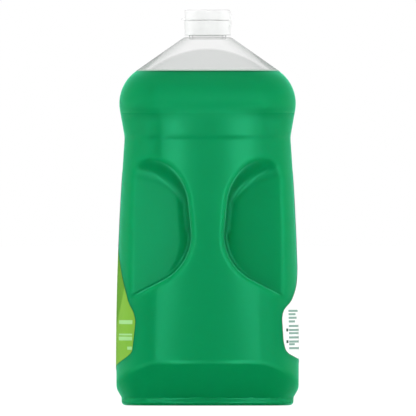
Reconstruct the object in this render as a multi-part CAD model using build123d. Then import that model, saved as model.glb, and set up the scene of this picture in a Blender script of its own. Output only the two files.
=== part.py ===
"""Three litre dish soap bottle: a blown clear body with pinch grips, and a screw closure with a flip lid.

Millimetres. The origin is the centre of the foot, +Z is up and the front label faces -Y.
"""

import math
import os

from build123d import *

# Body. Widths run along X and depths along Y. The side outline runs straight from corner to corner,
# rounded at each one: belly, waist, bulge, and the ledge under the closure. Drops are below the ledge.
BELLY_WIDTH = 134.0
BELLY_DEPTH = 124.8
BELLY_SHARE = 0.546
BELLY_BLEND = 0.9
WAIST_DROP = 68.5
WAIST_INSET = 5.65
WAIST_RADIUS = 20.0
BULGE_DROP = 33.2
BULGE_PROUD = 0.55
BULGE_RADIUS = 27.5
LEDGE_RADIUS = 16.2
LEDGE_HEIGHT = 251.5
PLAN_CORNER = 28.0
LEDGE_CORNER = 15.7
WALL = 0.8

# Foot: an upright heel, then panels that flare out until they meet the body
FOOT_INSET_X = 14.1
FOOT_INSET_Y = 3.6
FOOT_CORNER = 20.0
FOOT_HEIGHT = 5.5
FOOT_FLARE = 30.0
HEEL_RADIUS = 3.0
PUSH_UP_RIM = 14.0
PUSH_UP_DEPTH = 4.0
PUSH_UP_DRAFT = 35.0

# Pinch grips: four scoops, one at each corner of the body. A scoop's floor starts at a rim on the rounded
# corner and leans in towards a ridge, which is narrowest where its drafted wall meets the sill.
GRIP_RIM = 8.0
GRIP_RIM_DEPTH = 8.5
GRIP_LEAN = 20.0
GRIP_TILT = 8.0
GRIP_ROUND = 14.0
GRIP_RIDGE = 9.2
GRIP_DRAFT = 5.6
GRIP_DROP = 11.7
GRIP_HEIGHT = 74.8
GRIP_SILL_PITCH = 27.3
GRIP_TOP_CORNER = 26.0
GRIP_SILL_CORNER = 34.5
GRIP_LIP = 6.0
GRIP_BEVEL = 3.4

# Neck, and the dish liquid below it
NECK_RADIUS = 12.75
NECK_BORE = 10.75
NECK_HEIGHT = 9.3
HEADSPACE = 22.5
FILL_CLEARANCE = 0.2

# Labels: bells that wrap the lower corners and run up between the grips
LABEL_THICKNESS = 0.15
LABEL_CLEARANCE = 0.05
LABEL_MARGIN = 5.0
LABEL_ROUNDING = 0.45
LABEL_BELL_DROP = 4.5
LABEL_STEM_HALF = 32.0
LABEL_DROP = 11.3
FRONT_LABEL_SETBACK = 4.0
FRONT_LABEL_BOTTOM = 24.0
BACK_LABEL_SETBACK = 5.7
BACK_LABEL_BOTTOM = 29.0

# Closure: seal ring, screw base with a spout, and a lid on a strap hinge at the back
CAP_RADIUS = 15.9
CAP_BORE = 14.1
CAP_LIFT = 1.4
RIM_HEIGHT = 1.0
RIM_STEP = 0.2
SEAL_THICKNESS = 0.8
SEAL_BORE = 6.0
SEAL_CLEARANCE = 0.3
DECK_THICKNESS = 1.3
SPOUT_RADIUS = 4.5
SPOUT_HEIGHT = 3.2
SPOUT_ORIFICE = 1.6
PARTING_GAP = 0.3
LID_HEIGHT = 7.0
LID_WALL = 1.4
LID_EDGE = 1.3
PLUG_CLEARANCE = 0.3
PLUG_REACH = 1.4
PLUG_TAPER = 0.3
TAB_RADIUS = 7.0
TAB_REACH = 2.2
TAB_THICKNESS = 1.25
HINGE_WIDTH = 10.0
HINGE_HEIGHT = 4.0
HINGE_PROUD = 0.4
HINGE_EDGE = 0.3

# Places that follow from those sizes
WAIST_HEIGHT = LEDGE_HEIGHT - WAIST_DROP
BULGE_HEIGHT = LEDGE_HEIGHT - BULGE_DROP
BELLY_HEIGHT = BELLY_SHARE * WAIST_HEIGHT
GRIP_CEILING = WAIST_HEIGHT - GRIP_DROP
GRIP_SILL = GRIP_CEILING - GRIP_HEIGHT
LABEL_BELL_TOP = GRIP_SILL - LABEL_BELL_DROP
LABEL_TOP = GRIP_CEILING - LABEL_DROP
FILL_HEIGHT = LEDGE_HEIGHT - HEADSPACE
NECK_TOP = LEDGE_HEIGHT + NECK_HEIGHT
CAP_BOTTOM = LEDGE_HEIGHT + CAP_LIFT
DECK_UNDERSIDE = NECK_TOP + SEAL_THICKNESS
DECK_TOP = DECK_UNDERSIDE + DECK_THICKNESS
SPOUT_TOP = DECK_TOP + SPOUT_HEIGHT
LID_BOTTOM = DECK_TOP + PARTING_GAP
LID_TOP = LID_BOTTOM + LID_HEIGHT
LID_RADIUS = CAP_RADIUS - RIM_STEP

# Sections along each stretch of the side outline, from the foot to the shoulder, the second, fourth and
# sixth of which are its rounded corners, and room past the part for cutting tools
SECTIONS = (2, 3, 2, 3, 2, 7, 5)
SPARE = 10.0


def side_outline():
    """The body's side outline from below the foot to the ledge, in the YZ plane."""
    half_depth = BELLY_DEPTH / 2
    climb = WAIST_HEIGHT - BELLY_HEIGHT
    lean = math.atan2(WAIST_INSET, climb)
    belly_radius = BELLY_BLEND * climb / math.tan(lean / 2)
    return FilletPolyline(
        (0, half_depth, -SPARE),
        (0, half_depth, BELLY_HEIGHT),
        (0, half_depth - WAIST_INSET, WAIST_HEIGHT),
        (0, half_depth + BULGE_PROUD, BULGE_HEIGHT),
        (0, LEDGE_RADIUS, LEDGE_HEIGHT),
        radius=[belly_radius, WAIST_RADIUS, BULGE_RADIUS],
    )


def body_section(edge, position, inset):
    """A rounded rectangle at a position along an edge of the side outline, moved in by inset."""
    point = edge @ position
    along = edge % position
    half_depth = point.Y - inset * along.Z
    height = point.Z + inset * along.Y
    share = (half_depth + inset - LEDGE_RADIUS) / (BELLY_DEPTH / 2 - LEDGE_RADIUS)
    half_width = LEDGE_RADIUS + share * (BELLY_WIDTH / 2 - LEDGE_RADIUS) - inset
    corner = LEDGE_CORNER + share * (PLAN_CORNER - LEDGE_CORNER) - inset
    return Pos(0, 0, height) * RectangleRounded(2 * half_width, 2 * half_depth, corner)


def hull(inset):
    """The body before its grips and foot are cut, lofted stretch by stretch up the side outline."""
    bands = []
    for edge, count in zip(side_outline().edges().sort_by(Axis.Z), SECTIONS):
        sections = [body_section(edge, i / (count - 1), inset) for i in range(count)]
        bands.append(loft(sections, ruled=True))
    return bands[0].fuse(*bands[1:])


def grip_scoops(inset):
    """The four grip scoops, each with a ceiling, a drafted wall and a sloping sill, grown by inset."""
    draft = math.radians(GRIP_DRAFT)
    pitch = math.radians(GRIP_SILL_PITCH)
    outer = BELLY_DEPTH / 2 + SPARE
    ceiling = GRIP_CEILING + inset
    wall_shift = inset / math.cos(draft)
    sill_shift = inset / math.cos(pitch)
    top_ridge = GRIP_RIDGE + (ceiling - GRIP_SILL) * math.tan(draft) - wall_shift
    corner_shift = (sill_shift * math.tan(draft) + wall_shift) / (1 + math.tan(pitch) * math.tan(draft))
    outline = FilletPolyline(
        (0, outer, ceiling),
        (0, top_ridge, ceiling),
        (0, GRIP_RIDGE - corner_shift, GRIP_SILL + corner_shift * math.tan(pitch) - sill_shift),
        (0, outer, GRIP_SILL - (outer - GRIP_RIDGE) * math.tan(pitch) - sill_shift),
        radius=[GRIP_TOP_CORNER + inset, GRIP_SILL_CORNER + inset],
    )
    section = make_face(outline + Line(outline @ 1, outline @ 0))
    block = extrude(section, BELLY_WIDTH / 2 + SPARE, dir=(1, 0, 0))
    up = Vector(1, 0, 0).rotate(Axis.Y, -GRIP_TILT).rotate(Axis.Z, -GRIP_LEAN)
    rim = Vector(BELLY_WIDTH / 2 - GRIP_RIM_DEPTH, BELLY_DEPTH / 2 - GRIP_RIM, GRIP_SILL)
    floor = Plane(rim - up * inset, z_dir=up)
    block = split(block, bisect_by=floor, keep=Keep.TOP)
    floor_edges = block.faces().sort_by(Axis(floor.origin, up))[0].edges().group_by(Axis.Y)[:-1]
    scoop = fillet([edge for group in floor_edges for edge in group], GRIP_ROUND + inset)
    pair = [scoop, mirror(scoop, about=Plane.XZ)]
    return pair + [Rot(0, 0, 180) * part for part in pair]


def foot_plan(inset):
    width = BELLY_WIDTH - 2 * FOOT_INSET_X - 2 * inset
    depth = BELLY_DEPTH - 2 * FOOT_INSET_Y - 2 * inset
    return RectangleRounded(width, depth, FOOT_CORNER - inset)


def around_foot(inset):
    """What is cut away around the foot: everything outside the heel and the flared panels."""
    flare = 2 * max(FOOT_INSET_X, FOOT_INSET_Y)
    flare_top = FOOT_HEIGHT + flare / math.tan(math.radians(FOOT_FLARE))
    heel = Pos(0, 0, inset) * extrude(foot_plan(inset), FOOT_HEIGHT - inset)
    heel = fillet(heel.edges().group_by(Axis.Z)[0], HEEL_RADIUS - inset)
    panel_ends = [Pos(0, 0, FOOT_HEIGHT) * foot_plan(inset), Pos(0, 0, flare_top) * foot_plan(inset - flare)]
    panels = loft(panel_ends, ruled=True)
    across = BELLY_WIDTH + BELLY_DEPTH
    bottom = -2 * SPARE
    block = Pos(0, 0, bottom) * extrude(Rectangle(across, across), flare_top - bottom)
    return block - (heel + panels)


def push_up(inset):
    """The hollow under the foot that leaves a rim to stand on, grown by inset."""
    return extrude(foot_plan(PUSH_UP_RIM - inset), PUSH_UP_DEPTH + inset, taper=PUSH_UP_DRAFT)


def body_form(inset):
    """The form of the body with its grips and foot, moved in by inset: lips are bevelled inside the wall."""
    plain = hull(inset)
    scoops = grip_scoops(inset)
    gripped = plain - scoops
    lips = new_edges(plain, *scoops, combined=gripped)
    lipped = chamfer(lips, GRIP_BEVEL) if inset > 0 else fillet(lips, GRIP_LIP)
    return lipped - around_foot(inset) - push_up(inset)


def bottle():
    """The blown shell: body, ledge and open neck, in one wall."""
    neck = Pos(0, 0, LEDGE_HEIGHT) * extrude(Circle(NECK_RADIUS), NECK_HEIGHT)
    bore_bottom = LEDGE_HEIGHT - 2 * WALL
    bore = Pos(0, 0, bore_bottom) * extrude(Circle(NECK_BORE), NECK_TOP - bore_bottom)
    return body_form(0) + neck - body_form(WALL) - bore


def dish_liquid():
    """The fill, level at its top, just clear of the shell's inner wall."""
    across = BELLY_WIDTH + BELLY_DEPTH
    above = Pos(0, 0, FILL_HEIGHT) * extrude(Rectangle(across, across), LEDGE_HEIGHT)
    return body_form(WALL + FILL_CLEARANCE) - above


def label(facing, setback, bottom):
    """A film label on the side that facing gives, -1 for the front and 1 for the back."""
    film = hull(-LABEL_CLEARANCE - LABEL_THICKNESS) - hull(-LABEL_CLEARANCE)
    bell_height = LABEL_BELL_TOP - bottom
    bell_width = BELLY_WIDTH - 2 * setback
    corner = LABEL_ROUNDING * bell_height
    crown = LABEL_TOP - LABEL_STEM_HALF
    outline = Pos(0, bottom + bell_height / 2) * RectangleRounded(bell_width, bell_height, corner)
    outline += Pos(0, (bottom + crown) / 2) * Rectangle(2 * LABEL_STEM_HALF, crown - bottom)
    outline += Pos(0, crown) * Circle(LABEL_STEM_HALF)
    prism = extrude(Plane.XZ * outline, -facing * BELLY_DEPTH)
    return (film & prism) - grip_scoops(LABEL_MARGIN)


def seal_ring():
    """The foam ring between the neck's rim and the closure's deck."""
    ring = Circle(CAP_BORE - SEAL_CLEARANCE) - Circle(SEAL_BORE)
    return Pos(0, 0, NECK_TOP) * extrude(ring, SEAL_THICKNESS)


def turned(*outline):
    """A solid turned about the Z axis from a closed outline of radius and height pairs."""
    corners = [(radius, 0, height) for radius, height in outline]
    return revolve(make_face(Polyline(*corners, close=True)), Axis.Z)


def hinge_lug(bottom):
    """One half of the strap hinge, standing a little proud of the closure's back."""
    inner = LID_RADIUS - LID_WALL
    outer = CAP_RADIUS + HINGE_PROUD
    lug = Pos(0, (inner + outer) / 2, bottom + HINGE_HEIGHT / 2) * Box(HINGE_WIDTH, outer - inner, HINGE_HEIGHT)
    return fillet(lug.edges().filter_by(Axis.Z).group_by(Axis.Y)[-1], HINGE_EDGE)


def cap_base():
    """The screw base: skirt with a rim, deck, spout, and the lower half of the hinge."""
    base = turned(
        (CAP_BORE, CAP_BOTTOM),
        (CAP_RADIUS, CAP_BOTTOM),
        (CAP_RADIUS, CAP_BOTTOM + RIM_HEIGHT),
        (LID_RADIUS, CAP_BOTTOM + RIM_HEIGHT),
        (LID_RADIUS, DECK_TOP),
        (SPOUT_RADIUS, DECK_TOP),
        (SPOUT_RADIUS, SPOUT_TOP),
        (SPOUT_ORIFICE, SPOUT_TOP),
        (SPOUT_ORIFICE, DECK_UNDERSIDE),
        (CAP_BORE, DECK_UNDERSIDE),
    )
    return base + hinge_lug(DECK_TOP - HINGE_HEIGHT)


def flip_lid():
    """The lid: a shallow cup with a plug for the spout, a thumb tab and the upper half of the hinge."""
    ceiling = LID_TOP - LID_WALL
    plug_radius = SPOUT_ORIFICE - PLUG_CLEARANCE
    inner = LID_RADIUS - LID_WALL
    cup = turned(
        (inner, LID_BOTTOM),
        (LID_RADIUS, LID_BOTTOM),
        (LID_RADIUS, LID_TOP),
        (0, LID_TOP),
        (0, SPOUT_TOP - PLUG_REACH),
        (plug_radius - PLUG_TAPER, SPOUT_TOP - PLUG_REACH),
        (plug_radius, SPOUT_TOP),
        (plug_radius, ceiling),
        (inner, ceiling),
    )
    cup = fillet(cup.edges().filter_by(GeomType.CIRCLE).group_by(Axis.Z)[-1], LID_EDGE)
    tab_plan = Pos(0, TAB_RADIUS - TAB_REACH - LID_RADIUS) * Circle(TAB_RADIUS) - Circle(inner)
    tab = Pos(0, 0, LID_BOTTOM) * extrude(tab_plan, TAB_THICKNESS)
    return cup + tab + hinge_lug(LID_BOTTOM)


def main():
    os.makedirs("parts", exist_ok=True)
    pieces = {
        "bottle": bottle(),
        "dish_liquid": dish_liquid(),
        "front_label": label(-1, FRONT_LABEL_SETBACK, FRONT_LABEL_BOTTOM),
        "back_label": label(1, BACK_LABEL_SETBACK, BACK_LABEL_BOTTOM),
        "seal_ring": seal_ring(),
        "cap_base": cap_base(),
        "flip_lid": flip_lid(),
    }
    for name, piece in pieces.items():
        export_step(piece, f"parts/{name}.step")


main()
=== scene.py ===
"""Dresses the dish soap bottle: clear shell, green liquid, film labels, closure, floor, light, camera."""

import math

import bpy
import numpy as np
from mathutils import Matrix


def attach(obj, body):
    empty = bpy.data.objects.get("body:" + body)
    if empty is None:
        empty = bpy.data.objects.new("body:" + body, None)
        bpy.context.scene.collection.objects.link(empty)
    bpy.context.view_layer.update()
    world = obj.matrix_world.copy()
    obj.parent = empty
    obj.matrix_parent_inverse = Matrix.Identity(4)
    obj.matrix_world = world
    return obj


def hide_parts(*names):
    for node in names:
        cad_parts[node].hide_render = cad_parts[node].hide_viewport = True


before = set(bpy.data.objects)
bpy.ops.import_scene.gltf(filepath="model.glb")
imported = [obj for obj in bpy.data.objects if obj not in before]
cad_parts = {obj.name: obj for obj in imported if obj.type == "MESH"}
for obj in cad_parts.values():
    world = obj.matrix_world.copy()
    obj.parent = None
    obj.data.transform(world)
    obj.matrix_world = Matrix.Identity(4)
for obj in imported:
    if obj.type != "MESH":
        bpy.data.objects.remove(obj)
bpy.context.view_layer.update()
MM = 0.001

# Body, in millimetres: widths along X, depths along Y, drops below the ledge under the closure
BELLY_WIDTH = 134.0
BELLY_DEPTH = 124.8
BELLY_SHARE = 0.546
BELLY_BLEND = 0.9
WAIST_DROP = 68.5
WAIST_INSET = 5.65
WAIST_RADIUS = 20.0
BULGE_DROP = 33.2
BULGE_PROUD = 0.55
BULGE_RADIUS = 27.5
LEDGE_RADIUS = 16.2
LEDGE_HEIGHT = 251.5
LEDGE_EDGE = 0.6
PLAN_CORNER = 28.0
LEDGE_CORNER = 15.7
WALL = 0.8
LIQUID_INSET = 0.15
HEADSPACE = 22.5

# Foot
FOOT_INSET_X = 14.1
FOOT_INSET_Y = 3.6
FOOT_CORNER = 20.0
FOOT_HEIGHT = 5.5
FOOT_FLARE = math.radians(30.0)
FLARE_EDGE = 1.2
HEEL_RADIUS = 3.0
PUSH_UP_RIM = 14.0
PUSH_UP_DEPTH = 4.0
PUSH_UP_DRAFT = math.radians(35.0)

# Pinch grips: their outline, their leaning floors, and the rounding inside them and at their lips
GRIP_RIM = 8.0
GRIP_RIM_DEPTH = 11.5
GRIP_LEAN = math.radians(13.0)
GRIP_TILT = math.radians(3.0)
ROUND_AT_CEILING = 16.0
ROUND_AT_WALL = 2.0
GRIP_RIDGE = 9.2
GRIP_DRAFT = math.radians(5.6)
GRIP_DROP = 11.7
GRIP_HEIGHT = 74.8
GRIP_SILL_PITCH = math.radians(27.3)
GRIP_TOP_CORNER = 36.0
GRIP_SILL_CORNER = 34.5
LIP_AT_RIDGE = 4.0
LIP_AT_RIM = 3.0
LIP_POWER = 3.0

# Crown of the side panels: its radius, its fade round the corners, and where it ends below the bulge
PANEL_CROWN = 280.0
CROWN_FADE = 15.0
CROWN_TOP = 206.0
CROWN_BLEND = 12.0

# Neck: its rounded rim, and its foot sunk into the ledge
NECK_RADIUS = 12.75
NECK_BORE = 10.75
NECK_HEIGHT = 9.3
NECK_EDGE = 0.4
NECK_FOOT_INSET = 0.6

# Labels: film, bare margin round the grips, the stem between them, and the mesh
LABEL_THICKNESS = 0.06
LABEL_MARGIN = 5.0
LABEL_STEM_HALF = 32.0
LABEL_DROP = 11.3
LABEL_END_GAP = 0.02
LABEL_ROWS = 150
LABEL_COLUMNS = 90
REACH_STEPS = 1200

# Label edges: heights, and how far each label reaches past the flat of its face there
FRONT_LABEL = {
    "facing": -1,
    "edge": (
        (24, -20), (26, 0), (31, 16), (36, 25.5), (46, 27), (58, 28.3), (64, 26.5), (70, 22), (77, 19),
        (97, 9.5), (106, 3), (114, -3), (122, -7),
    ),
}
BACK_LABEL = {
    "facing": 1,
    "edge": (
        (29, -20), (31, 2), (34, 17), (37, 23), (44, 25.3), (60, 26.3), (65, 25), (67.5, 22.5), (71, 17),
        (82, 8), (92, 3), (100, -3), (108, -7),
    ),
}

# Bars on the front label: from and to along it from its middle, then from and to in height
PRINT_BARS = (
    (49.4, 64.6, 55.7, 58.4),
    (49.4, 64.6, 48.0, 49.2),
    (49.4, 64.6, 44.6, 47.2),
    (60.3, 64.6, 38.3, 40.4),
)
OVAL_FIELD = {"middle": 100.0, "half_along": 58.0, "half_up": 69.0}
OVAL_BLUR = 0.03

# Rows on the back label: the height of each and where it ends, and two marks beside them
PRINT_ROWS = (
    (64.7, 45), (62.4, 50), (60.0, 48), (57.5, 51), (54.4, 43), (51.7, 42), (49.5, 43), (46.6, 42),
    (43.8, 42), (42.0, 52), (39.3, 42),
)
ROW_START = 59.0
ROW_HALF = 0.75
MARK_AT = 60.6
MARK_HEIGHTS = (51.7, 43.8)
MARK_HALF = 1.0

# Places that follow from those sizes
WAIST_HEIGHT = LEDGE_HEIGHT - WAIST_DROP
BULGE_HEIGHT = LEDGE_HEIGHT - BULGE_DROP
BELLY_HEIGHT = BELLY_SHARE * WAIST_HEIGHT
GRIP_CEILING = WAIST_HEIGHT - GRIP_DROP
GRIP_SILL = GRIP_CEILING - GRIP_HEIGHT
GRIP_START = (BELLY_WIDTH / 2 - GRIP_RIM_DEPTH, BELLY_DEPTH / 2 - GRIP_RIM, GRIP_SILL)
GRIP_UP = (
    math.cos(GRIP_TILT) * math.cos(GRIP_LEAN),
    -math.cos(GRIP_TILT) * math.sin(GRIP_LEAN),
    math.sin(GRIP_TILT),
)
FILL_HEIGHT = LEDGE_HEIGHT - HEADSPACE
NECK_TOP = LEDGE_HEIGHT + NECK_HEIGHT

# The conical top of the shoulder, which carries a painted highlight of the light from above, in metres: its
# lower edge at the middle, how that falls outwards, its blur
CONE_EDGE = 0.2435
CONE_FALL = 8.9
CONE_BLUR = 0.0006

# Clear plastic: how much it covers what is behind it, from 0 to 1, less on the cone as a painted highlight of
# the light from above, and the pale line along the level, a painted highlight where the liquid's surface
# catches the light
COVER_OVER_LIQUID = 0.004
COVER_ON_FACETS = 0.25
COVER_ON_CONE_HIGHLIGHT = 0.07
COVER_AT_EDGE = 0.3
COVER_OF_LEVEL_HIGHLIGHT = 0.9
EDGE_BLEND = 0.35
EDGE_FACING = (0.4, 0.8)
LEVEL_HIGHLIGHT = 0.4

# Liquid: the painted line of shade below its level, and its roughness below and on the bulge, with the change
# between
SHADE_LINE_BELOW_LEVEL = (2.1, 1.6)
ROUGH_BELOW = 0.15
ROUGH_ON_BULGE = 0.38
ROUGH_CHANGE = (190.0, 208.0)

# How far the dressed body stays inside the solid, the step for slopes, and the blur of the label edges
INSIDE = 0.08
NUDGE = 0.05
SMOOTH = np.linspace(-2.0, 2.0, 9)

# Mesh steps, the round edge of the level, passes that pull points onto the surface, and room round the body
SHELL_STEP = 1.8
LIQUID_STEP = 1.4
LEVEL_ROUND = 1.0
PULLS = 3
ROOM_BESIDE = 2.0
ROOM_BEFORE = 3.0
ROOM_BELOW = 2.0
ROOM_ABOVE = 3.0

# The side outline's table: its lower end, its spare length, its step, and the points on each arc
OUTLINE_BOTTOM = -20
OUTLINE_SPARE = 15
OUTLINE_STEP = 0.1
ARC_POINTS = 41


# Form of the body as a distance function

def rounded_outline(corners, radii):
    """Heights and half depths along a polyline of (half depth, height) corners with rounded inner corners."""
    points = [np.array(corners[0], float)]
    for i, radius in enumerate(radii, 1):
        corner = np.array(corners[i], float)
        back = np.array(corners[i - 1]) - corner
        ahead = np.array(corners[i + 1]) - corner
        back /= np.linalg.norm(back)
        ahead /= np.linalg.norm(ahead)
        half_angle = math.acos(np.clip(back @ ahead, -1, 1)) / 2
        middle = back + ahead
        centre = corner + middle / np.linalg.norm(middle) * radius / math.sin(half_angle)
        start = corner + back * radius / math.tan(half_angle) - centre
        end = corner + ahead * radius / math.tan(half_angle) - centre
        for share in np.linspace(0, 1, ARC_POINTS):
            spoke = start + (end - start) * share
            points.append(centre + spoke / np.linalg.norm(spoke) * radius)
    points.append(np.array(corners[-1], float))
    depths, heights = np.array(points).T
    return heights, depths


def side_outline():
    """A fine table of height, half depth and the share of the slope that counts as distance."""
    half_depth = BELLY_DEPTH / 2
    climb = WAIST_HEIGHT - BELLY_HEIGHT
    belly_radius = BELLY_BLEND * climb / math.tan(math.atan2(WAIST_INSET, climb) / 2)
    corners = [
        (half_depth, OUTLINE_BOTTOM),
        (half_depth, BELLY_HEIGHT),
        (half_depth - WAIST_INSET, WAIST_HEIGHT),
        (half_depth + BULGE_PROUD, BULGE_HEIGHT),
        (LEDGE_RADIUS, LEDGE_HEIGHT),
    ]
    heights, depths = rounded_outline(corners, [belly_radius, WAIST_RADIUS, BULGE_RADIUS])
    fine = np.arange(-OUTLINE_SPARE, LEDGE_HEIGHT + OUTLINE_SPARE, OUTLINE_STEP)
    half = np.interp(fine, heights, depths)
    upright = 1 / np.sqrt(1 + np.gradient(half, fine) ** 2)
    return fine, half, upright


OUTLINE = side_outline()


def round_max(a, b, radius, power=2.0):
    """What two solids share, with a rounded edge: a higher power starts the bend more gently."""
    outer = (np.maximum(a + radius, 0) ** power + np.maximum(b + radius, 0) ** power) ** (1 / power)
    return np.minimum(np.maximum(a, b), -radius) + outer


def plan_distance(x, y, half_x, half_y, corner):
    """Distance to a rounded rectangle, in plan."""
    u = x - half_x + corner
    v = y - half_y + corner
    return np.hypot(np.maximum(u, 0), np.maximum(v, 0)) + np.minimum(np.maximum(u, v), 0) - corner


def section_sizes(z):
    """Half width, half depth and corner radius of the body at a height."""
    half_depth = np.interp(z, OUTLINE[0], OUTLINE[1])
    share = (half_depth - LEDGE_RADIUS) / (BELLY_DEPTH / 2 - LEDGE_RADIUS)
    half_width = LEDGE_RADIUS + share * (BELLY_WIDTH / 2 - LEDGE_RADIUS)
    corner = LEDGE_CORNER + share * (PLAN_CORNER - LEDGE_CORNER)
    return half_width, half_depth, corner


def crown(y, z, flat):
    """How far a side panel falls back from its middle: a crown that fades at the corner and the bulge."""
    past = np.clip(y - flat, 0, CROWN_FADE)
    fall = np.minimum(y, flat) ** 2 / 2 + flat * (past - past ** 2 / (2 * CROWN_FADE))
    share = np.clip((CROWN_TOP - z) / CROWN_BLEND, 0, 1)
    return fall / PANEL_CROWN * share ** 2 * (3 - 2 * share)


def rounded_corner(distance, y, z, centre, radius, normals):
    """Replaces a distance by that to an arc, in the wedge between the two faces that the arc joins."""
    qy, qz = y - centre[0], z - centre[1]
    (ay, az), (by, bz) = normals
    turn = math.copysign(1, ay * bz - az * by)
    wedge = ((ay * qz - az * qy) * turn >= 0) & ((qy * bz - qz * by) * turn >= 0)
    return np.where(wedge, np.hypot(qy, qz) - radius, distance)


def grip_outline(y, z):
    """Distance to the outline of a grip scoop, seen from the side."""
    rise = z - GRIP_SILL
    run = y - GRIP_RIDGE
    slant, pitch = math.tan(GRIP_DRAFT), math.tan(GRIP_SILL_PITCH)
    upright, level = math.cos(GRIP_DRAFT), math.cos(GRIP_SILL_PITCH)
    ceiling = z - GRIP_CEILING
    wall = (rise * slant - run) * upright
    sill = (-run * pitch - rise) * level
    to_ceiling = (0.0, 1.0)
    to_wall = (-upright, math.sin(GRIP_DRAFT))
    to_sill = (-math.sin(GRIP_SILL_PITCH), -level)
    top_z = GRIP_CEILING - GRIP_TOP_CORNER
    top_y = GRIP_RIDGE + (top_z - GRIP_SILL) * slant + GRIP_TOP_CORNER / upright
    low_run = GRIP_SILL_CORNER * (slant / level + 1 / upright) / (1 + pitch * slant)
    low_z = GRIP_SILL + GRIP_SILL_CORNER / level - low_run * pitch
    distance = np.maximum(np.maximum(ceiling, wall), sill)
    distance = rounded_corner(distance, y, z, (top_y, top_z), GRIP_TOP_CORNER, (to_ceiling, to_wall))
    return rounded_corner(distance, y, z, (GRIP_RIDGE + low_run, low_z), GRIP_SILL_CORNER, (to_wall, to_sill))


def hull_distance(x, y, z):
    """Distance to the body before its grips and foot are cut."""
    half_width, half_depth, corner = section_sizes(z)
    upright = np.interp(z, OUTLINE[0], OUTLINE[2])
    x, y = np.abs(x), np.abs(y)
    plan = plan_distance(x + crown(y, z, half_depth - corner), y, half_width, half_depth, corner)
    return plan * upright + INSIDE


def scoop_distance(x, y, z):
    """Distance to a grip scoop: its outline, and a floor that leans in towards the ridge."""
    x, y = np.abs(x), np.abs(y)
    outline = grip_outline(y, z)
    across = (grip_outline(y + NUDGE, z) - grip_outline(y - NUDGE, z)) / (2 * NUDGE)
    along = (grip_outline(y, z + NUDGE) - grip_outline(y, z - NUDGE)) / (2 * NUDGE)
    rise = [(c - start) * up for c, start, up in zip((x, y, z), GRIP_START, GRIP_UP)]
    floor = -(rise[0] + rise[1] + rise[2])
    facing = -across * GRIP_UP[1] - along * GRIP_UP[2]
    rounding = ROUND_AT_WALL + (ROUND_AT_CEILING - ROUND_AT_WALL) * np.clip(along, 0, 1)
    return round_max(outline, floor, rounding * (1 - facing))


def foot_distance(x, y, z):
    """Distance to the heel and the flared panels above it, with the push-up taken out."""
    half_x = BELLY_WIDTH / 2 - FOOT_INSET_X
    half_y = BELLY_DEPTH / 2 - FOOT_INSET_Y
    fall = crown(np.abs(y), z, BELLY_DEPTH / 2 - PLAN_CORNER)
    plan = plan_distance(np.abs(x) + fall, np.abs(y), half_x, half_y, FOOT_CORNER)
    heel = round_max(plan, -z, HEEL_RADIUS)
    flared = (plan - (z - FOOT_HEIGHT) * math.tan(FOOT_FLARE)) * math.cos(FOOT_FLARE)
    around = np.where(z > FOOT_HEIGHT, flared, heel)
    rim = PUSH_UP_RIM
    inner = plan_distance(np.abs(x), np.abs(y), half_x - rim, half_y - rim, FOOT_CORNER - rim)
    sides = (inner + z * math.tan(PUSH_UP_DRAFT)) * math.cos(PUSH_UP_DRAFT)
    hollow = np.maximum(sides, z - PUSH_UP_DEPTH)
    return np.maximum(around, -hollow)


def body_distance(x, y, z):
    """Distance to the outside of the blown body, without its neck."""
    towards_rim = np.clip((np.abs(y) - GRIP_RIDGE) / (GRIP_START[1] - GRIP_RIDGE), 0, 1)
    lip = LIP_AT_RIDGE + (LIP_AT_RIM - LIP_AT_RIDGE) * towards_rim
    form = round_max(hull_distance(x, y, z), -scoop_distance(x, y, z), lip, LIP_POWER)
    form = round_max(form, z - LEDGE_HEIGHT, LEDGE_EDGE)
    return round_max(form, foot_distance(x, y, z), FLARE_EDGE)


# Meshes

def gradient(distance, points):
    """Unit direction in which a distance function grows, at each point."""
    slopes = []
    for axis in range(3):
        step = np.zeros(3)
        step[axis] = NUDGE
        slopes.append(distance(*(points + step).T) - distance(*(points - step).T))
    slopes = np.array(slopes).T
    return slopes / np.maximum(np.linalg.norm(slopes, axis=1, keepdims=True), 1e-9)


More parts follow.
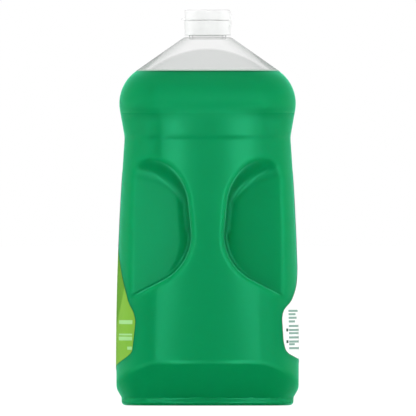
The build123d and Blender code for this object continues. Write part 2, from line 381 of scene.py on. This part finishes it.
def surface_net(distance, low, high, step):
    """Points and quads on the zero surface of a distance function inside a box."""
    axes = [np.arange(a, b + step, step) for a, b in zip(low, high)]
    values = distance(*np.meshgrid(*axes, indexing="ij"))
    inside = values < 0
    cells = tuple(n - 1 for n in values.shape)
    corners = [np.array((i, j, k)) for i in (0, 1) for j in (0, 1) for k in (0, 1)]
    count = np.zeros(cells, int)
    for i, j, k in corners:
        count += inside[i:i + cells[0], j:j + cells[1], k:k + cells[2]]
    crossed_cells = np.argwhere((count > 0) & (count < 8))
    index = np.full(cells, -1)
    index[tuple(crossed_cells.T)] = np.arange(len(crossed_cells))
    total = np.zeros((len(crossed_cells), 3))
    hits = np.zeros(len(crossed_cells))
    for a in corners:
        for axis in range(3):
            if a[axis]:
                continue
            b = a + np.eye(3, dtype=int)[axis]
            at_a = values[tuple((crossed_cells + a).T)]
            at_b = values[tuple((crossed_cells + b).T)]
            crossed = (at_a < 0) != (at_b < 0)
            share = np.where(crossed, at_a / np.where(crossed, at_a - at_b, 1), 0)
            total += np.where(crossed[:, None], a + share[:, None] * (b - a), 0)
            hits += crossed
    points = np.array(low) + step * (crossed_cells + total / hits[:, None])
    for _ in range(PULLS):
        off = np.clip(distance(*points.T), -step / 2, step / 2)
        points = points - off[:, None] * gradient(distance, points)
    quads = []
    for axis in range(3):
        u, v = (axis + 1) % 3, (axis + 2) % 3
        ahead = np.eye(3, dtype=int)
        lower = inside[tuple(slice(0, -1) if d == axis else slice(1, -1) for d in range(3))]
        upper = inside[tuple(slice(1, None) if d == axis else slice(1, -1) for d in range(3))]
        for leaving in (True, False):
            edges = np.argwhere((lower if leaving else upper) & ~(upper if leaving else lower))
            edges = edges + np.array([0 if d == axis else 1 for d in range(3)])
            ring = [edges - ahead[u] - ahead[v], edges - ahead[v], edges, edges - ahead[u]]
            ring = ring if leaving else ring[::-1]
            quads.append(np.stack([index[tuple(cell.T)] for cell in ring], axis=1))
    return points, np.concatenate(quads)


def add_mesh(name, points, faces, normals):
    """A smooth mesh object from points in millimetres, with its own normals."""
    mesh = bpy.data.meshes.new(name)
    mesh.from_pydata((np.asarray(points) * MM).tolist(), [], [list(map(int, f)) for f in faces])
    mesh.shade_smooth()
    mesh.normals_split_custom_set_from_vertices(normals.tolist())
    obj = bpy.data.objects.new(name, mesh)
    bpy.context.scene.collection.objects.link(obj)
    return obj


def lathe(profile, segments=128):
    """Points and quads turned about Z from a closed profile of radius and height."""
    profile = np.array(profile)
    angles = np.linspace(0, 2 * math.pi, segments, endpoint=False)
    rings = [np.stack([r * np.cos(angles), r * np.sin(angles), np.full(segments, z)], 1) for r, z in profile]
    points = np.concatenate(rings)
    quads = []
    for i in range(len(profile)):
        a, b = i * segments, (i + 1) % len(profile) * segments
        for j in range(segments):
            k = (j + 1) % segments
            quads.append((a + j, a + k, b + k, b + j))
    return points, np.array(quads)


def joined(*parts):
    """Several (points, faces, normals) sets as one."""
    points, faces, normals = [], [], []
    start = 0
    for part_points, part_faces, part_normals in parts:
        points.append(part_points)
        faces.append(np.array(part_faces) + start)
        normals.append(part_normals)
        start += len(part_points)
    return np.concatenate(points), np.concatenate(faces), np.concatenate(normals)


# Material helpers

def new_material(name):
    material = bpy.data.materials.new(name)
    material.use_nodes = True
    nodes = material.node_tree.nodes
    return material, nodes, material.node_tree.links, nodes["Principled BSDF"]


def linear(red, green, blue):
    """A colour given in 8-bit display values, as the shader takes it."""
    channels = [c / 255 for c in (red, green, blue)]
    return tuple(c / 12.92 if c <= 0.04045 else ((c + 0.055) / 1.055) ** 2.4 for c in channels) + (1.0,)


def noise(nodes, links, scale, detail=2.0):
    """A cloudy value from 0 to 1 over the object."""
    place = nodes.new("ShaderNodeTexCoord")
    texture = nodes.new("ShaderNodeTexNoise")
    texture.inputs["Scale"].default_value = scale
    texture.inputs["Detail"].default_value = detail
    links.new(place.outputs["Object"], texture.inputs["Vector"])
    return texture.outputs["Fac"]


def spread(nodes, links, value, low, high):
    """A 0 to 1 value stretched over a range."""
    span = nodes.new("ShaderNodeMapRange")
    span.inputs["To Min"].default_value = low
    span.inputs["To Max"].default_value = high
    links.new(value, span.inputs["Value"])
    return span.outputs["Result"]


def bump(nodes, links, height, strength, distance):
    """A normal that follows a height, with its distance in metres."""
    node = nodes.new("ShaderNodeBump")
    node.inputs["Strength"].default_value = strength
    node.inputs["Distance"].default_value = distance
    links.new(height, node.inputs["Height"])
    return node.outputs["Normal"]


def reckon(nodes, links, operation, *values):
    """A math node over values that are numbers or sockets."""
    node = nodes.new("ShaderNodeMath")
    node.operation = operation
    for socket, value in zip(node.inputs, values):
        if isinstance(value, (int, float)):
            socket.default_value = value
        else:
            links.new(value, socket)
    return node.outputs["Value"]


def mixed(nodes, links, factor, first, second):
    """A mix of two colours, each a fixed colour or a socket."""
    node = nodes.new("ShaderNodeMix")
    node.data_type = "RGBA"
    links.new(factor, node.inputs["Factor"])
    for name, colour in (("A", first), ("B", second)):
        if isinstance(colour, tuple):
            node.inputs[name].default_value = colour
        else:
            links.new(colour, node.inputs[name])
    return node.outputs["Result"]


def split(nodes, links, vector):
    """The X, Y and Z sockets of a vector."""
    axes = nodes.new("ShaderNodeSeparateXYZ")
    links.new(vector, axes.inputs["Vector"])
    return axes.outputs["X"], axes.outputs["Y"], axes.outputs["Z"]


def place_on_object(nodes, links):
    """The object's own X, Y and Z sockets, in metres."""
    return split(nodes, links, nodes.new("ShaderNodeTexCoord").outputs["Object"])


def step_over(nodes, links, value, low, high, start, end):
    """A value that goes smoothly from start to end while another goes from low to high."""
    span = nodes.new("ShaderNodeMapRange")
    span.interpolation_type = "SMOOTHSTEP"
    for name, number in (("From Min", low), ("From Max", high), ("To Min", start), ("To Max", end)):
        span.inputs[name].default_value = number
    links.new(value, span.inputs["Value"])
    return span.outputs["Result"]


# Materials

def clear_plastic():
    """Clear shell: hardly seen over the liquid, faintly grey over the headspace, less so on its cone as a
    painted highlight, with a pale painted highlight along the level.
    """
    material, nodes, links, shader = new_material("clear_plastic")
    shader.inputs["IOR"].default_value = 1.45
    shader.inputs["Specular IOR Level"].default_value = 0.06
    ripple = noise(nodes, links, scale=60)
    links.new(spread(nodes, links, ripple, low=0.1, high=0.16), shader.inputs["Roughness"])
    x, y, z = place_on_object(nodes, links)
    # Painted highlight: a pale, nearly opaque band where the liquid's surface meets the wall, standing in for
    # the light it catches.
    level = (FILL_HEIGHT - LEVEL_HIGHLIGHT) * MM
    level_highlight = reckon(nodes, links, "COMPARE", z, level, LEVEL_HIGHLIGHT * MM)
    tone = mixed(nodes, links, level_highlight, linear(186, 187, 187), linear(190, 214, 199))
    links.new(tone, shader.inputs["Base Color"])
    # Painted highlight: the upward-facing cone is covered less than the faces below it, so it looks lit from
    # above.
    from_x = reckon(nodes, links, "ABSOLUTE", x)
    from_y = reckon(nodes, links, "ABSOLUTE", y)
    across = reckon(nodes, links, "MINIMUM", from_x, from_y)
    fall = reckon(nodes, links, "MULTIPLY", across, across)
    arc = reckon(nodes, links, "MULTIPLY_ADD", fall, CONE_FALL, z)
    cone = (CONE_EDGE - CONE_BLUR, CONE_EDGE + CONE_BLUR)
    grey = step_over(nodes, links, arc, *cone, COVER_ON_FACETS, COVER_ON_CONE_HIGHLIGHT)
    facing = nodes.new("ShaderNodeLayerWeight")
    facing.inputs["Blend"].default_value = EDGE_BLEND
    edge = step_over(nodes, links, facing.outputs["Facing"], *EDGE_FACING, 0.0, COVER_AT_EDGE)
    empty = reckon(nodes, links, "ADD", grey, edge)
    share = step_over(nodes, links, z, level, FILL_HEIGHT * MM, 0.0, 1.0)
    clear = reckon(nodes, links, "MULTIPLY_ADD", empty, share, COVER_OVER_LIQUID)
    links.new(reckon(nodes, links, "MULTIPLY_ADD", level_highlight, COVER_OF_LEVEL_HIGHLIGHT, clear), shader.inputs["Alpha"])
    return material


def green_liquid():
    """Green liquid that light spreads in, with a painted line of shade under its level and a duller bulge."""
    material, nodes, links, shader = new_material("green_liquid")
    z = place_on_object(nodes, links)[2]
    clouds = noise(nodes, links, scale=14, detail=3)
    green = mixed(nodes, links, clouds, linear(0, 141, 81), linear(0, 146, 85))
    # Painted shade: a darker green band just under the level, where the underside of the liquid's surface
    # would look dark.
    line = [(FILL_HEIGHT - below) * MM for below in SHADE_LINE_BELOW_LEVEL]
    shade_under_level = step_over(nodes, links, z, *line, 0.0, 1.0)
    links.new(mixed(nodes, links, shade_under_level, green, linear(0, 112, 60)), shader.inputs["Base Color"])
    change = [height * MM for height in ROUGH_CHANGE]
    links.new(step_over(nodes, links, z, *change, ROUGH_BELOW, ROUGH_ON_BULGE), shader.inputs["Roughness"])
    shader.inputs["Subsurface Weight"].default_value = 0.7
    shader.inputs["Subsurface Radius"].default_value = (0.4, 1.0, 0.7)
    shader.inputs["Subsurface Scale"].default_value = 0.02
    shader.inputs["IOR"].default_value = 1.45
    shader.inputs["Specular IOR Level"].default_value = 0.5
    shader.inputs["Specular Tint"].default_value = (0.1, 1.0, 0.55, 1)
    shader.inputs["Sheen Weight"].default_value = 1.0
    shader.inputs["Sheen Roughness"].default_value = 0.35
    shader.inputs["Sheen Tint"].default_value = (0.12, 1.0, 0.6, 1)
    return material


def white_plastic():
    """Moulded white plastic with a fine satin grain."""
    material, nodes, links, shader = new_material("white_plastic")
    grain = noise(nodes, links, scale=300, detail=4)
    white = mixed(nodes, links, grain, linear(242, 242, 242), linear(246, 246, 246))
    links.new(white, shader.inputs["Base Color"])
    links.new(spread(nodes, links, grain, low=0.3, high=0.42), shader.inputs["Roughness"])
    links.new(bump(nodes, links, grain, strength=0.1, distance=0.0002), shader.inputs["Normal"])
    return material


def white_foam():
    """White foam with fine cells."""
    material, nodes, links, shader = new_material("white_foam")
    cells = noise(nodes, links, scale=2500, detail=4)
    white = mixed(nodes, links, cells, linear(226, 226, 222), linear(246, 246, 243))
    links.new(white, shader.inputs["Base Color"])
    shader.inputs["Roughness"].default_value = 0.8
    links.new(bump(nodes, links, cells, strength=0.5, distance=0.0002), shader.inputs["Normal"])
    return material


def inside_oval(nodes, links, along, up, middle, half_along, half_up):
    """1 inside an oval about the middle of a label, 0 outside it."""
    across = reckon(nodes, links, "DIVIDE", along, half_along)
    upward = reckon(nodes, links, "DIVIDE", reckon(nodes, links, "SUBTRACT", up, middle), half_up)
    square = reckon(nodes, links, "MULTIPLY", across, across)
    distance = reckon(nodes, links, "MULTIPLY_ADD", upward, upward, square)
    return step_over(nodes, links, distance, 1 - OVAL_BLUR, 1 + OVAL_BLUR, 1.0, 0.0)


def inside_boxes(nodes, links, along, up, boxes):
    """1 inside any of several boxes that don't overlap, 0 outside them."""
    mask = 0.0
    for left, right, low, high in boxes:
        across = reckon(nodes, links, "COMPARE", along, (left + right) / 2, (right - left) / 2)
        upward = reckon(nodes, links, "COMPARE", up, (low + high) / 2, (high - low) / 2)
        mask = reckon(nodes, links, "MULTIPLY_ADD", across, upward, mask)
    return mask


def film(name, base, second, fields, oval=None):
    """A film with a faint grain and fields of colour, each a mask over places along and up the label."""
    material, nodes, links, shader = new_material(name)
    grain = noise(nodes, links, scale=40)
    colour = mixed(nodes, links, grain, base, second)
    place = nodes.new("ShaderNodeUVMap")
    place.uv_map = "along_and_up"
    sideways, up, _ = split(nodes, links, place.outputs["UV"])
    along = reckon(nodes, links, "ABSOLUTE", sideways)
    if oval:
        tone, sizes = oval
        colour = mixed(nodes, links, inside_oval(nodes, links, along, up, **sizes), colour, tone)
    for tone, boxes in fields:
        colour = mixed(nodes, links, inside_boxes(nodes, links, along, up, boxes), colour, tone)
    links.new(colour, shader.inputs["Base Color"])
    shader.inputs["Specular IOR Level"].default_value = 0.15
    links.new(spread(nodes, links, grain, low=0.35, high=0.5), shader.inputs["Roughness"])
    return material


# Pieces

def dress(obj, body, slot_name, material, *nodes):
    """Gives a piece its material and its body, and hides the CAD nodes it stands for."""
    obj.data.materials.append(material)
    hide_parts(*nodes)
    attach(obj, body)


def dressed_net(distance, top, step):
    """Points, quads and normals of a form's surface, from below its foot to above its top."""
    half_x = BELLY_WIDTH / 2 + ROOM_BESIDE
    half_y = BELLY_DEPTH / 2 + ROOM_BEFORE
    points, quads = surface_net(
        distance, (-half_x, -half_y, -ROOM_BELOW), (half_x, half_y, top + ROOM_ABOVE), step
    )
    return points, quads, gradient(distance, points)


def make_shell():
    """The blown body, open at its mouth, and its neck."""
    points, quads, normals = dressed_net(body_distance, LEDGE_HEIGHT, SHELL_STEP)
    mouth = (NECK_RADIUS + NECK_BORE) / 2
    over_mouth = (np.hypot(points[:, 0], points[:, 1]) < mouth) & (points[:, 2] > LEDGE_HEIGHT - LEDGE_EDGE)
    quads = quads[~over_mouth[quads].any(axis=1)]
    neck_bottom = LEDGE_HEIGHT - 2 * WALL
    neck_points, neck_quads = lathe([
        (NECK_BORE, neck_bottom),
        (NECK_RADIUS - NECK_FOOT_INSET, neck_bottom),
        (NECK_RADIUS, LEDGE_HEIGHT),
        (NECK_RADIUS, NECK_TOP - NECK_EDGE),
        (NECK_RADIUS - NECK_EDGE, NECK_TOP),
        (NECK_BORE + NECK_EDGE, NECK_TOP),
        (NECK_BORE, NECK_TOP - NECK_EDGE),
    ])
    away = neck_points * (1, 1, 0)
    neck_normals = away / np.linalg.norm(away, axis=1, keepdims=True)
    shell = add_mesh("shell", *joined((points, quads, normals), (neck_points, neck_quads, neck_normals)))
    dress(shell, "container", "clear_plastic", clear_plastic(), "bottle")


def liquid_distance(x, y, z):
    """Distance to the liquid: the body moved in a little and cut off level."""
    return round_max(body_distance(x, y, z) + LIQUID_INSET, z - FILL_HEIGHT, LEVEL_ROUND)


def make_liquid():
    """The fill, out to the wall."""
    liquid = add_mesh("liquid", *dressed_net(liquid_distance, FILL_HEIGHT, LIQUID_STEP))
    dress(liquid, "container", "green_liquid", green_liquid(), "dish_liquid")


def section_point(along, z, lift, crowned=True):
    """A point on the body's section at a height, at a distance along it from the middle of the front."""
    half_width, half_depth, corner = section_sizes(z)
    flat = half_width - corner
    turn = np.clip((along - flat) / corner, 0, math.pi / 2)
    x = np.minimum(along, flat) + (corner + lift) * np.sin(turn)
    y = half_depth - corner + (corner + lift) * np.cos(turn)
    fall = crown(y, z, half_depth - corner) * np.minimum(x / flat, 1) if crowned else 0
    return x - fall, y


def label_reach(z, edge):
    """How far a label runs along the body's section from its middle: its bell, then the stem above that."""
    heights, reaches = np.array(edge, float).T
    along = np.linspace(0, BELLY_WIDTH / 2 + PLAN_CORNER, REACH_STEPS)
    if z < heights[-1]:
        half_width, _, corner = section_sizes(z)
        past_flat = np.interp(z + SMOOTH, heights, reaches).mean()
        outside = along - (half_width - corner) - past_flat
    else:
        x, y = section_point(along, z, 0, crowned=False)
        arch = GRIP_CEILING - LABEL_DROP - LABEL_STEM_HALF
        stem = np.hypot(x, np.maximum(z - arch, 0)) - LABEL_STEM_HALF
        outside = np.maximum(stem, LABEL_MARGIN - scoop_distance(x, y, np.full_like(x, z)))
    return along[max(np.argmax(outside > 0) - 1, 0)]


def make_label(name, facing, edge):
    """A film that follows the body, as a closed sheet of two faces."""
    bottom = edge[0][0] + LABEL_END_GAP
    top = GRIP_CEILING - LABEL_DROP - LABEL_END_GAP
    even = np.linspace(0, 1, LABEL_ROWS)
    eased = (1 - np.cos(math.pi * even)) / 2
    share = np.linspace(-1, 1, LABEL_COLUMNS)
    sheets, places = [], []
    for lift in (LABEL_THICKNESS, 0.0):
        for z in bottom + (top - bottom) * (eased + even) / 2:
            along = label_reach(z, edge) * share
            x, y = section_point(np.abs(along), z, lift)
            sheets.append(np.stack([np.sign(along) * x, facing * y, np.full(LABEL_COLUMNS, z)], 1))
            places.append(np.stack([along, np.full(LABEL_COLUMNS, z)], 1))
    points = np.concatenate(sheets)
    grid = np.arange(len(points)).reshape(2, LABEL_ROWS, LABEL_COLUMNS)
    faces = []
    for outer, sheet in zip((True, False), grid):
        quads = np.stack([sheet[:-1, :-1], sheet[:-1, 1:], sheet[1:, 1:], sheet[1:, :-1]], -1).reshape(-1, 4)
        faces.append(quads if outer == (facing < 0) else quads[:, ::-1])
    rim = np.concatenate([grid[:, 0, :], grid[:, 1:, -1], grid[:, -1, -2::-1], grid[:, -2:0:-1, 0]], axis=1)
    ahead = np.roll(rim, -1, axis=1)
    rim_quads = np.stack([rim[0], rim[1], ahead[1], ahead[0]], -1)
    faces.append(rim_quads if facing < 0 else rim_quads[:, ::-1])
    normals = gradient(hull_distance, points)
    normals[len(points) // 2:] *= -1
    label = add_mesh(name, points, np.concatenate(faces), normals)
    uv_layer = label.data.uv_layers.new(name="along_and_up")
    corner_points = np.zeros(len(label.data.loops), int)
    label.data.loops.foreach_get("vertex_index", corner_points)
    uv_layer.data.foreach_set("uv", np.concatenate(places)[corner_points].ravel())
    return label


def make_labels():
    """The front label with its bars and oval field, and the back label with its rows and marks."""
    lime = film(
        "lime_film",
        linear(122, 178, 60),
        linear(132, 186, 66),
        ((linear(160, 214, 140), PRINT_BARS),),
        (linear(100, 158, 46), OVAL_FIELD),
    )
    dress(make_label("lime_label", **FRONT_LABEL), "container", "lime_film", lime, "front_label")
    rows = [(end, ROW_START, up - ROW_HALF, up + ROW_HALF) for up, end in PRINT_ROWS]
    mark_ends = (MARK_AT - MARK_HALF, MARK_AT + MARK_HALF)
    marks = [(*mark_ends, up - MARK_HALF, up + MARK_HALF) for up in MARK_HEIGHTS]
    white = film(
        "white_film",
        linear(248, 250, 248),
        linear(252, 253, 252),
        ((linear(138, 170, 158), rows), (linear(60, 90, 80), marks)),
    )
    dress(make_label("white_label", **BACK_LABEL), "container", "white_film", white, "back_label")


def finish_closure():
    """Gives the closure, its lid and the seal their materials."""
    for node, material in (
        ("cap_base", white_plastic()),
        ("flip_lid", white_plastic()),
        ("seal_ring", white_foam()),
    ):
        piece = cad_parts[node]
        piece.data.materials.clear()
        piece.data.materials.append(material)


# Floor, in metres: its half length, its grey, and how white it is to the camera
FLOOR_REACH = 60.0
FLOOR_GREY = 0.9
FLOOR_GLOW = 1.1
FLOOR_WHITE = 0.94

# Even light all round
WORLD_LIGHT = 0.42

# Brightness of the studio in reflections, by azimuth from the camera's side in degrees
STUDIO = (
    (-180, 0.1), (-140, 0.15), (-110, 0.4), (-80, 0.9), (-60, 0.8), (-30, 0.5), (-21, 0.6), (-14, 4.0),
    (-8, 0.8), (0, 0.6), (8, 0.8), (14, 4.0), (21, 1.8), (40, 1.7), (60, 0.8), (80, 0.9), (110, 0.4),
    (140, 0.15), (180, 0.1),
)
BRIGHTEST = max(level for degrees, level in STUDIO)

# Reflections by height: narrower and brighter strips off what leans, dark far below, dim overhead
LEAN_UP = 3.0
LEAN_DOWN = -1.4
LEAN_DOWN_START = -0.12
LEAN_MOST = 0.5
LEAN_NARROWS = 1.2
LEAN_LIFT = (0.1, 0.4, 1.0, 1.8)
DARK_BELOW = (-0.8, -0.55, 0.0, BRIGHTEST)
DIM_ABOVE = (0.35, 0.75, 1.0, 0.2)

# Lamps: azimuth from the camera's side, distance and height in metres, size, and power in watts
LAMPS = {
    "left_fill": (-14, 2.6, 0.9, (0.5, 1.6), 15),
    "right_fill": (14, 2.6, 0.9, (0.5, 1.6), 15),
    "left_rim": (-108, 1.0, 0.25, (0.5, 0.8), 7.5),
    "right_rim": (108, 1.0, 0.25, (0.5, 0.8), 7.5),
    "top": (0, 0.3, 1.6, (1.2, 1.2), 5),
}
MIDDLE = (0, 0, 0.13)

# Camera: far off with a long lens, level with the middle of the picture
CAMERA_AWAY = 10.0
CAMERA_LENS = 1265.0
CAMERA_SENSOR = 36.0
CAMERA_REACH = 50.0
LOOK_AT = (0, 0.0003, 0.1347)


def make_floor():
    """A pale floor: white to the camera apart from its shadow, plain to the light, out of reflections."""
    mesh = bpy.data.meshes.new("floor")
    far = FLOOR_REACH
    mesh.from_pydata([(-far, -far, 0), (far, -far, 0), (far, far, 0), (-far, far, 0)], [], [(0, 1, 2, 3)])
    floor = bpy.data.objects.new("floor", mesh)
    bpy.context.scene.collection.objects.link(floor)
    material, nodes, links, shader = new_material("floor")
    shader.inputs["Base Color"].default_value = (FLOOR_GREY, FLOOR_GREY, FLOOR_GREY, 1)
    shader.inputs["Specular IOR Level"].default_value = 0.0
    glow = nodes.new("ShaderNodeEmission")
    glow.inputs["Strength"].default_value = FLOOR_GLOW
    path = nodes.new("ShaderNodeLightPath")
    mix = nodes.new("ShaderNodeMixShader")
    links.new(reckon(nodes, links, "MULTIPLY", path.outputs["Is Camera Ray"], FLOOR_WHITE), mix.inputs["Fac"])
    links.new(shader.outputs["BSDF"], mix.inputs[1])
    links.new(glow.outputs["Emission"], mix.inputs[2])
    links.new(mix.outputs["Shader"], nodes["Material Output"].inputs["Surface"])
    floor.data.materials.append(material)
    floor.visible_glossy = False


def studio_reflections(nodes, links):
    """How bright a reflection is, by direction: soft strips beside the front, then the sides."""
    place = nodes.new("ShaderNodeTexCoord")
    x, y, z = split(nodes, links, place.outputs["Generated"])
    rising = reckon(nodes, links, "MULTIPLY", z, LEAN_UP)
    falling = reckon(nodes, links, "MULTIPLY_ADD", z, LEAN_DOWN, LEAN_DOWN_START)
    steep = reckon(nodes, links, "MINIMUM", reckon(nodes, links, "MAXIMUM", rising, falling), LEAN_MOST)
    stretch = reckon(nodes, links, "MULTIPLY_ADD", steep, LEAN_NARROWS, 1.0)
    azimuth = reckon(nodes, links, "MULTIPLY", reckon(nodes, links, "ARCTAN2", y, x), stretch)
    ramp = nodes.new("ShaderNodeValToRGB")
    ramp.color_ramp.interpolation = "EASE"
    stops = ramp.color_ramp.elements
    stops.remove(stops[1])
    for degrees, level in STUDIO:
        stop = stops[0] if degrees == STUDIO[0][0] else stops.new(degrees / 360 + 0.5)
        stop.color = (level / BRIGHTEST,) * 3 + (1,)
    links.new(reckon(nodes, links, "MULTIPLY_ADD", azimuth, 1 / (2 * math.pi), 0.5), ramp.inputs["Fac"])
    below = step_over(nodes, links, z, *DARK_BELOW)
    above = step_over(nodes, links, z, *DIM_ABOVE)
    lift = step_over(nodes, links, steep, *LEAN_LIFT)
    level = reckon(nodes, links, "MULTIPLY", below, above)
    seen = nodes.new("ShaderNodeBackground")
    links.new(ramp.outputs["Color"], seen.inputs["Color"])
    links.new(reckon(nodes, links, "MULTIPLY", level, lift), seen.inputs["Strength"])
    return seen


def make_world():
    """Even light all round, white to the camera, with studio lamps in reflections."""
    world = bpy.data.worlds.new("studio")
    bpy.context.scene.world = world
    world.use_nodes = True
    nodes, links = world.node_tree.nodes, world.node_tree.links
    path = nodes.new("ShaderNodeLightPath")
    result = nodes["Background"]
    result.inputs["Color"].default_value = (1, 1, 1, 1)
    result.inputs["Strength"].default_value = WORLD_LIGHT
    white = nodes.new("ShaderNodeBackground")
    white.inputs["Color"].default_value = (1, 1, 1, 1)
    for ray, seen in (("Is Glossy Ray", studio_reflections(nodes, links)), ("Is Camera Ray", white)):
        mix = nodes.new("ShaderNodeMixShader")
        links.new(path.outputs[ray], mix.inputs["Fac"])
        links.new(result.outputs[0], mix.inputs[1])
        links.new(seen.outputs["Background"], mix.inputs[2])
        result = mix
    links.new(result.outputs[0], nodes["World Output"].inputs["Surface"])


def aim(obj, target):
    """Turns a lamp or camera towards a point, with its top up."""
    direction = np.array(target) - np.array(obj.location)
    yaw = math.atan2(direction[1], direction[0])
    pitch = math.atan2(direction[2], math.hypot(direction[0], direction[1]))
    obj.rotation_euler = (math.pi / 2 + pitch, 0, yaw - math.pi / 2)


def add_lamp(name, azimuth, distance, height, size, watts):
    """A soft lamp round the bottle: azimuth is positive towards the back label."""
    light = bpy.data.lights.new(name, "AREA")
    light.shape = "RECTANGLE"
    light.size, light.size_y = size
    light.energy = watts
    lamp = bpy.data.objects.new(name, light)
    bpy.context.scene.collection.objects.link(lamp)
    turn = math.radians(azimuth)
    lamp.location = (distance * math.cos(turn), distance * math.sin(turn), height)
    aim(lamp, MIDDLE)
    lamp.visible_camera = False
    lamp.visible_glossy = False


def make_camera():
    """Looks along -X at the side of the bottle, as in a product picture."""
    camera = bpy.data.objects.new("camera", bpy.data.cameras.new("camera"))
    bpy.context.scene.collection.objects.link(camera)
    camera.data.sensor_width = CAMERA_SENSOR
    camera.data.lens = CAMERA_LENS
    camera.data.clip_end = CAMERA_REACH
    camera.location = (CAMERA_AWAY, LOOK_AT[1], LOOK_AT[2])
    aim(camera, LOOK_AT)
    bpy.context.scene.camera = camera


make_shell()
make_liquid()
make_labels()
finish_closure()
make_floor()
make_world()
for lamp_name, settings in LAMPS.items():
    add_lamp(lamp_name, *settings)
make_camera()
bpy.context.scene.view_settings.view_transform = "Standard"
